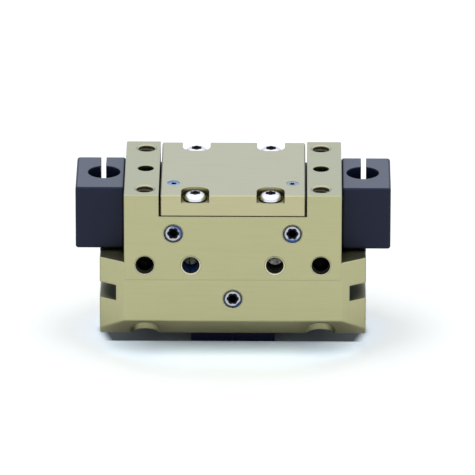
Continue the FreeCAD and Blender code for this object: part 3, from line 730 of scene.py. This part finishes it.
@dataclass(frozen=True)
class FluidAndShadeFilm(HolePiece):
    """Thin film with a wavy or lobed edge, for dried fluid on and round a plug and for painted shade round
    a plug, round a screw head and in a socket.
    """

    inner: float
    outer: float
    low: float
    high: float
    start_deg: float = 0.0
    sweep_deg: float = FULL_TURN_DEG
    wave: float = 0.08
    phase: float = 0.0
    lobes: int = 0
    wave_counts: tuple[int, int] = (3, 7)
    second_wave: float = 0.6
    thinnest: float = 0.02
    rounding_share: float = 0.2
    steps: int = 72
    sharp_deg: float = 60.0

    def build(self) -> bpy.types.Mesh:
        """Makes the film, which thins out to nothing at the ends of its sweep.

        Returns:
            The mesh of the film.
        """
        closed = self.sweep_deg >= FULL_TURN_DEG
        middle = (self.inner + self.outer) / 2
        rings = self.steps if closed else self.steps + 1
        points: list[Point] = []
        for step in range(rings):
            share = step / self.steps
            angle = math.radians(self.start_deg + share * self.sweep_deg)
            full = 1.0 if closed else math.sqrt(max(math.sin(math.pi * share), self.thinnest))
            ripple = self.ripple(angle)
            inner = middle - (middle - self.inner - ripple / 2) * full
            outer = middle + (self.outer - middle + ripple) * full
            rounding = (outer - inner) * self.rounding_share
            top = self.low + (self.high - self.low) * full
            section = ((inner, self.low), (inner, (self.low + top) / 2), (inner + rounding, top),
                       (outer - rounding, top), (outer, (self.low + top) / 2), (outer, self.low))
            points += [(reach * math.cos(angle), reach * math.sin(angle), height)
                       for reach, height in section]
        return self.wrap(points, rings, closed, self.sharp_deg)

    def ripple(self, angle: float) -> float:
        """Says how far the edge reaches past its middle line.

        Args:
            angle: Angle round the hole in radians.

        Returns:
            Reach in millimetres, regular for a film with lobes.
        """
        if self.lobes > 0:
            return self.wave * (2 * abs(math.cos((self.lobes * angle + self.phase) / 2)) - 1)
        few, many = self.wave_counts
        return self.wave * (math.sin(few * angle + self.phase)
                            + self.second_wave * math.sin(many * angle - self.phase))


@dataclass
class Housing:
    """One-piece housing with its open mounting threads and air ports."""

    finishes: Finishes
    top: float = TOP
    face: float = FACE
    row: float = TOP - ROW_DROP
    mount_x: float = 22.0
    mount_y: float = 13.75
    mount_depth: float = 9.6
    bore_radius: float = 2.15
    port_x: float = 10.5
    port_depth: float = 6.1
    port_end: float = 6.4
    point_radius: float = 0.45
    rim_depth: float = 0.05
    rim_slope: float = 0.58
    rim_sunk: float = 0.25
    mount_rim: float = 2.12
    face_rim: float = 2.38
    port_rim: float = 2.24
    thread_radius: float = 2.5
    pitch: float = 0.8
    first_turn: float = 0.75
    crest_radius: float = 2.1
    smear: Pair = (0.9, 4.8)
    smear_half: float = 0.1
    smear_deg: Pair = (180.0, 180.0)
    slot: str = "hard_anodised_aluminium"
    fluid_slot: str = "plated_plugs"
    inner_nodes: dict[str, Finish] = field(default_factory=lambda: {
        "rod_bush": BUSH_BRONZE,
        "rod_seal": SEAL_RUBBER,
        "lower_bumper": SEAL_RUBBER,
    })

    def build(self) -> None:
        """Builds the turns and countersinks of the open holes, the drill points and the fluid in a port."""
        for side, point_finish in ((Side.LEFT, DIM_POINT_ALUMINIUM), (Side.RIGHT, DRILLED_ALUMINIUM)):
            self.add_mounting_threads(side)
            self.add_face_threads(side)
            self.add_port(side, point_finish)
        self.add_smear((-self.port_x, -self.face, self.row))

    def add_mounting_threads(self, side: Side) -> None:
        """Adds the two open threads on top of one upright.

        Args:
            side: Side of the upright.
        """
        for end, y in (("front", -self.mount_y), ("back", self.mount_y)):
            name = side.node(f"{end}_mounting_thread")
            mouth = (side.value * self.mount_x, y, self.top)
            self.add_turns(name, mouth, Facing.UP, self.first_turn, self.mount_depth,
                           MOUNT_THREAD_ALUMINIUM)
            self.add_rim(name, mouth, Facing.UP, self.mount_rim, MOUNT_THREAD_ALUMINIUM)

    def add_face_threads(self, side: Side) -> None:
        """Adds the threads in the front and back of one upright, which cross its mounting bores.

        Args:
            side: Side of the upright.
        """
        before = self.face - self.mount_y - self.bore_radius
        after = self.face - self.mount_y + self.bore_radius
        for facing, y in ((Facing.FRONT, -self.face), (Facing.BACK, self.face)):
            name = side.node(f"{facing.name.lower()}_face_thread")
            mouth = (side.value * self.mount_x, y, self.row)
            self.add_turns(name, mouth, facing, self.first_turn, before)
            self.add_turns(name + "_inner", mouth, facing, after, self.mount_depth)
            self.add_rim(name, mouth, facing, self.face_rim)

    def add_port(self, side: Side, point_finish: Finish) -> None:
        """Adds the thread and the drill point of one air port.

        Args:
            side: Side of the port.
            point_finish: Surface of the drill point.
        """
        mouth = (side.value * self.port_x, -self.face, self.row)
        name = side.node("air_port_thread")
        self.add_turns(name, mouth, Facing.FRONT, self.first_turn, self.port_depth)
        self.add_rim(name, mouth, Facing.FRONT, self.port_rim)
        point = ConeRing(side.node("air_port_drill_point"), mouth, Facing.FRONT, self.thread_radius,
                         self.point_radius, self.port_end)
        self.finishes.add_piece(point, point_finish, Body.HOUSING, self.slot)

    def add_turns(self, name: str, mouth: Point, facing: Facing, start: float, end: float,
                  finish: Finish = THREAD_ALUMINIUM) -> None:
        """Adds the thread turns of one hole.

        Args:
            name: Name of the piece.
            mouth: Centre of the hole's mouth.
            facing: Direction out of the hole.
            start: Depth of the first turn.
            end: Depth of the last turn.
            finish: Surface of the turns.
        """
        turns = ThreadTurns(name, mouth, facing, self.thread_radius, self.pitch, start, end)
        self.finishes.add_piece(turns, finish, Body.HOUSING, self.slot)

    def add_rim(self, name: str, mouth: Point, facing: Facing, inner: float,
                finish: Finish = RIM_HIGHLIGHT_ALUMINIUM) -> None:
        """Adds the countersink at the mouth of one tapped hole.

        Args:
            name: Name of the thread.
            mouth: Centre of the hole's mouth.
            facing: Direction out of the hole.
            inner: Radius at the inner edge of the countersink.
            finish: Surface of the countersink.
        """
        rim = ConeRing(name + "_rim", mouth, facing, self.thread_radius, inner, self.rim_depth,
                       slope=self.rim_slope, sunk=self.rim_sunk)
        self.finishes.add_piece(rim, finish, Body.HOUSING, self.slot)

    def add_smear(self, mouth: Point) -> None:
        """Adds the thread-locking fluid that lies in the lower turns of the left air port.

        Args:
            mouth: Centre of the port's mouth.
        """
        smear = FluidAndShadeFilm("left_air_port_fluid", mouth, Facing.FRONT, self.crest_radius - self.smear_half,
                          self.crest_radius + self.smear_half, -self.smear[1], -self.smear[0],
                          *self.smear_deg)
        self.finishes.add_piece(smear, AGED_FLUID, Body.HOUSING, self.fluid_slot)

    def dress(self) -> None:
        """Gives the housing and what is fixed inside it their finishes."""
        self.finishes.dress("housing", HOUSING_ALUMINIUM)
        for node, finish in self.inner_nodes.items():
            self.finishes.dress(node, finish)


@dataclass
class CylinderCover:
    """Cover plate with its seal, button-head screws and two small plugged ports."""

    finishes: Finishes
    top: float = TOP
    face: float = FACE
    plug_x: float = 14.8
    plug_y: float = -9.9
    plug_sunk: float = 0.15
    plug_radius: float = 1.5
    socket_radius: float = 0.75
    socket_gap: float = 0.05
    film: float = 0.05
    film_wave: float = 0.04
    fringe: float = 0.3
    fringe_overlap: float = 0.02
    fringe_start_deg: Pair = (20.0, 190.0)
    fringe_sweep_deg: float = 230.0
    screw_x: float = 9.4
    screw_inset: float = 2.9
    back: float = 17.8
    notch_drop: float = 2.0
    head_radius: float = 2.85
    # Painted shade: a ring round the foot of each screw head and a lobed sheet in its socket
    ring_shade_inside: float = 0.05
    ring_shade_width: float = 0.04
    ring_shade_height: float = 0.25
    head_height: float = 1.65
    key_radius: float = 1.45
    key_valley: float = 0.75
    key_wave: float = 0.15
    sheet_shade_height: Pair = (-0.03, 0.015)
    slot: str = "plated_plugs"
    screw_slot: str = "stainless_screws"

    def build(self) -> None:
        """Builds the fluid on the plugs and the plate round them, and the painted shade round and in the
        screw heads.
        """
        ends = {"front": self.screw_inset - self.face, "back": self.back - self.screw_inset}
        for side, finish, start_deg in zip(Side, (THIN_FLUID, WIPED_FLUID), self.fringe_start_deg):
            self.add_fluid(side, finish, start_deg)
            for end, y in ends.items():
                self.add_dirt(side.node(f"{end}_screw"), side.value * self.screw_x, y)

    def add_fluid(self, side: Side, finish: Finish, start_deg: float) -> None:
        """Adds the fluid on one plug and its fringe on the plate.

        Args:
            side: Side of the plug.
            finish: Surface of the fluid.
            start_deg: Angle at which the fringe begins.
        """
        mouth = (side.value * self.plug_x, self.plug_y, self.top)
        film = FluidAndShadeFilm(side.node("cover_plug_fluid"), mouth, Facing.UP,
                         self.socket_radius + self.socket_gap, self.plug_radius,
                         -self.plug_sunk - self.film / 2, -self.plug_sunk + self.film,
                         wave=self.film_wave, phase=side.value)
        fringe = FluidAndShadeFilm(side.node("cover_plug_fringe"), mouth, Facing.UP,
                           self.plug_radius - self.fringe_overlap, self.plug_radius + self.fringe,
                           -self.film / 2, self.film / 2, start_deg, self.fringe_sweep_deg,
                           phase=2 * side.value)
        for shape in (film, fringe):
            self.finishes.add_piece(shape, finish, Body.HOUSING, self.slot)

    def add_dirt(self, name: str, x: float, y: float) -> None:
        """Adds painted shade round the foot of one screw head and in its socket.

        Args:
            name: Name of the screw.
            x: Its axis along X.
            y: Its axis along Y.
        """
        seat = self.top - self.notch_drop
        head_ring_shade = FluidAndShadeFilm(name + "_dirt", (x, y, seat), Facing.UP, self.head_radius - self.ring_shade_inside,
                         self.head_radius + self.ring_shade_width, 0.0, self.ring_shade_height, wave=0.0)
        socket_sheet_shade = FluidAndShadeFilm(name + "_grime", (x, y, seat + self.head_height), Facing.UP, self.key_valley,
                          self.key_radius - self.key_wave, *self.sheet_shade_height, wave=self.key_wave,
                          phase=math.pi, lobes=SOCKET_LOBES)
        for shape in (head_ring_shade, socket_sheet_shade):
            self.finishes.add_piece(shape, SOCKET_SHADE, Body.HOUSING, self.screw_slot)

    def dress(self) -> None:
        """Gives the plate and its small parts their finishes."""
        self.finishes.dress("cylinder_cover", COVER_ALUMINIUM)
        self.finishes.dress("cover_screws", SCREW_STEEL)
        self.finishes.dress("cover_port_plugs", PLUG_STEEL)
        self.finishes.dress("cover_seal", SEAL_RUBBER)


@dataclass(frozen=True)
class PlugTrace:
    """Place of one plug screw of the front face, with the start and sweep of the fluid on it."""

    name: str
    mouth: Point
    pool_deg: Pair
    pool_finish: Finish
    film_deg: Pair | None = None


@dataclass
class FrontPlugs:
    """Plug screws of the front face, each with its trace of thread-locking fluid."""

    finishes: Finishes
    plugs: tuple[PlugTrace, ...] = (
        PlugTrace("left_gallery", (-GALLERY_X, -FACE, TOP - GALLERY_DROP), (-50.0, 175.0), POOLED_FLUID,
                  (-45.0, 175.0)),
        PlugTrace("right_gallery", (GALLERY_X, -FACE, TOP - GALLERY_DROP), (210.0, 110.0), POOLED_FLUID,
                  (220.0, 100.0)),
        PlugTrace("purge_port", (0.0, -LOWER_FACE, TOP - PURGE_DROP), (285.0, 60.0), AGED_FLUID),
    )
    sunk: float = 0.3
    bright_rim: float = 1.82
    hole_rim: float = 2.43
    hole_radius: float = 2.5
    rim_radius: float = 2.43
    rim_depth: float = 0.05
    rim_slope: float = 0.58
    rim_sunk: float = 0.1
    socket_radius: float = 1.42
    socket_valley: float = 0.95
    socket_wave: float = 0.12
    gap_depth: float = 0.25
    gap_wave: float = 0.04
    overlap: float = 0.05
    film: float = 0.05
    pool: float = 0.1
    slot: str = "plated_plugs"
    rim_slot: str = "hard_anodised_aluminium"

    def build(self) -> None:
        """Builds the painted shade with old fluid in the gap round each plug, the painted shade in its
        socket and its rim, pale as a painted highlight, then the fluid that ran onto its face.
        """
        for phase, plug in enumerate(self.plugs, 1):
            self.add(FluidAndShadeFilm(plug.name + "_gap_shade_and_fluid", plug.mouth, Facing.FRONT, self.bright_rim,
                               self.hole_rim, -self.sunk - self.gap_depth, -self.sunk + self.film,
                               wave=self.gap_wave, phase=phase), GAP_SHADE_AND_FLUID)
            self.add(FluidAndShadeFilm(plug.name + "_socket_grime", plug.mouth, Facing.FRONT, self.socket_valley,
                               self.socket_radius, -self.sunk - self.film, -self.sunk + self.film,
                               wave=self.socket_wave, lobes=SOCKET_LOBES), SOCKET_SHADE)
            rim = ConeRing(plug.name + "_rim", plug.mouth, Facing.FRONT, self.hole_radius, self.rim_radius,
                           self.rim_depth, slope=self.rim_slope, sunk=self.rim_sunk)
            self.finishes.add_piece(rim, RIM_HIGHLIGHT_ALUMINIUM, Body.HOUSING, self.rim_slot)
        for plug in self.plugs:
            self.add(FluidAndShadeFilm(plug.name + "_fluid_pool", plug.mouth, Facing.FRONT,
                               self.bright_rim - self.overlap, self.hole_rim, -self.sunk,
                               -self.sunk + self.pool, *plug.pool_deg), plug.pool_finish)
        for plug in self.plugs:
            if plug.film_deg is not None:
                self.add(FluidAndShadeFilm(plug.name + "_fluid_film", plug.mouth, Facing.FRONT,
                                   self.socket_radius + self.overlap, self.bright_rim + self.overlap,
                                   -self.sunk - self.film, -self.sunk + self.film,
                                   *plug.film_deg), THIN_FLUID)

    def add(self, film: FluidAndShadeFilm, finish: Finish) -> None:
        """Puts one film on the housing."""
        self.finishes.add_piece(film, finish, Body.HOUSING, self.slot)

    def dress(self) -> None:
        """Gives the plugs their finish."""
        for plug in self.plugs:
            self.finishes.dress(plug.name + "_plug", PLUG_STEEL)


@dataclass
class SensorHolder:
    """Moulded clamp block of one side with its screws and nut."""

    finishes: Finishes
    side: Side

    def dress(self) -> None:
        """Gives the block and its fasteners their finishes."""
        self.finishes.dress(self.side.node("sensor_holder"), HOLDER_POLYAMIDE)
        for piece in ("holder_screws", "clamp_screw", "clamp_nut"):
            self.finishes.dress(self.side.node(piece), SCREW_STEEL)


@dataclass
class BaseJaw:
    """Base jaw of one side with its finger threads."""

    finishes: Finishes
    side: Side
    thread_x: float = 6.9
    thread_y: float = 4.2
    thread_radius: float = 2.0
    pitch: float = 0.7
    first_turn: float = 0.5
    depth: float = 4.2
    slot: str = "nitrided_steel"

    def build(self) -> None:
        """Builds the turns of the two finger threads."""
        for end, y in (("front", -self.thread_y), ("back", self.thread_y)):
            name = self.side.node(f"{end}_finger_thread")
            turns = ThreadTurns(name, (self.side.value * self.thread_x, y, 0.0), Facing.DOWN,
                                self.thread_radius, self.pitch, self.first_turn, self.depth)
            self.finishes.add_piece(turns, JAW_STEEL, self.side.jaw_body(), self.slot)

    def dress(self) -> None:
        """Gives the jaw its finish."""
        self.finishes.dress(self.side.node("jaw"), JAW_STEEL)


@dataclass
class PistonUnit:
    """Piston, rod and wedge hook, which move as one."""

    finishes: Finishes
    nodes: dict[str, Finish] = field(default_factory=lambda: {
        "piston": PISTON_ALUMINIUM,
        "piston_guide_ring": RING_PLASTIC,
        "piston_seal": SEAL_RUBBER,
        "piston_rod": GROUND_STEEL,
        "piston_screw": SCREW_STEEL,
        "wedge_hook": GROUND_STEEL,
    })

    def dress(self) -> None:
        """Gives each piece its finish."""
        for node, finish in self.nodes.items():
            self.finishes.dress(node, finish)


@dataclass(frozen=True)
class Softbox:
    """One square studio lamp, aimed at the middle of the gripper."""

    name: str
    place_m: Point
    width_m: float
    watts: float

    def build(self, aim: Vector) -> None:
        """Hangs the lamp.

        Args:
            aim: Point in metres that it faces.
        """
        lamp = bpy.data.lights.new(self.name, "AREA")
        lamp.size = self.width_m
        lamp.energy = self.watts
        holder = bpy.data.objects.new(self.name, lamp)
        holder.location = self.place_m
        holder.visible_glossy = False
        holder.rotation_euler = (aim - Vector(self.place_m)).to_track_quat("-Z", "Y").to_euler()
        bpy.context.scene.collection.objects.link(holder)


@dataclass
class Studio:
    """White paper floor, soft light and the camera of the picture."""

    floor_m: float = 6.0
    floor_drop_mm: float = 0.02
    aim_mm: Point = (1.2053, -22.3, 34.45)
    distance_mm: float = 1951.5
    elevation_deg: float = 22.31
    azimuth_deg: float = 0.39
    roll_deg: float = 0.086
    lens_mm: float = 594.4
    sensor_mm: float = 36.0
    light_level: float = 0.85
    background: str = "#FFFFFF"
    backdrop: Point = (0.77, 0.83, 1.04)
    ceiling: Point = (1.3, 1.3, 1.3)
    ceiling_from: Pair = (0.45, 0.8)
    lamps: tuple[Softbox, ...] = (
        Softbox("overhead_softbox", (-0.15, -0.1, 1.1), 0.8, 2.0),
    )

    def build(self) -> None:
        """Sets up floor, world, lamps, camera and view."""
        self.add_floor()
        self.add_world()
        aim = Vector(self.aim_mm) * MM
        for lamp in self.lamps:
            lamp.build(aim)
        self.add_camera(aim)
        bpy.context.scene.view_settings.view_transform = "Standard"

    def add_floor(self) -> None:
        """Lays the paper under the jaws."""
        half = self.floor_m / 2
        low = -self.floor_drop_mm * MM
        mesh = bpy.data.meshes.new("paper_floor")
        mesh.from_pydata([(-half, -half, low), (half, -half, low), (half, half, low), (-half, half, low)],
                         [], [(0, 1, 2, 3)])
        mesh.materials.append(StudioPaper().build())
        floor = bpy.data.objects.new("paper_floor", mesh)
        bpy.context.scene.collection.objects.link(floor)

    def add_world(self) -> None:
        """Surrounds the gripper with dim light, a white background and a bright backdrop to mirror."""
        world = bpy.data.worlds.new("white_studio")
        world.use_nodes = True
        tree = world.node_tree
        tree.nodes.clear()
        path = add_node(tree, "ShaderNodeLightPath")
        mirrored = compute(tree, "MAXIMUM", path.outputs["Is Glossy Ray"],
                           path.outputs["Is Transmission Ray"])
        way = add_node(tree, "ShaderNodeSeparateXYZ", None,
                       {0: add_node(tree, "ShaderNodeTexCoord").outputs["Generated"]})
        height = map_range(tree, way.outputs["Z"], self.ceiling_from)
        tent = mix_colours(tree, height, self.backdrop + OPAQUE, self.ceiling + OPAQUE)
        lit = mix_colours(tree, mirrored, (self.light_level,) * 3 + OPAQUE, tent)
        colour = mix_colours(tree, path.outputs["Is Camera Ray"], lit, linear(self.background))
        light = add_node(tree, "ShaderNodeBackground", None, {"Color": colour})
        add_node(tree, "ShaderNodeOutputWorld", None, {"Surface": light.outputs[0]})
        bpy.context.scene.world = world

    def add_camera(self, aim: Vector) -> None:
        """Places the camera of the picture.

        Args:
            aim: Point in metres at the middle of the picture.
        """
        up_angle = math.radians(self.elevation_deg)
        turn = math.radians(self.azimuth_deg)
        away = Vector((math.sin(turn) * math.cos(up_angle), -math.cos(turn) * math.cos(up_angle),
                       math.sin(up_angle)))
        right = Vector((0.0, 0.0, 1.0)).cross(away).normalized()
        upright = Matrix((right, away.cross(right), away)).transposed()
        rolled = upright @ Matrix.Rotation(math.radians(self.roll_deg), 3, "Z")
        lens = bpy.data.cameras.new("product_camera")
        lens.sensor_width = self.sensor_mm
        lens.lens = self.lens_mm
        lens.clip_end = self.floor_m
        camera = bpy.data.objects.new("product_camera", lens)
        camera.matrix_world = Matrix.Translation(aim + away * self.distance_mm * MM) @ rolled.to_4x4()
        bpy.context.scene.collection.objects.link(camera)
        bpy.context.scene.camera = camera


def main() -> None:
    """Builds and dresses the gripper, then its studio."""
    logging.basicConfig(level=logging.INFO, format="%(message)s")
    finishes = Finishes()
    housing = Housing(finishes)
    cover = CylinderCover(finishes)
    plugs = FrontPlugs(finishes)
    jaws = [BaseJaw(finishes, side) for side in Side]
    for built in (housing, cover, plugs, *jaws):
        built.build()
    holders = [SensorHolder(finishes, side) for side in Side]
    for dressed in (housing, cover, plugs, *jaws, *holders, PistonUnit(finishes)):
        dressed.dress()
    Studio().build()


if __name__ == "__main__":
    main()
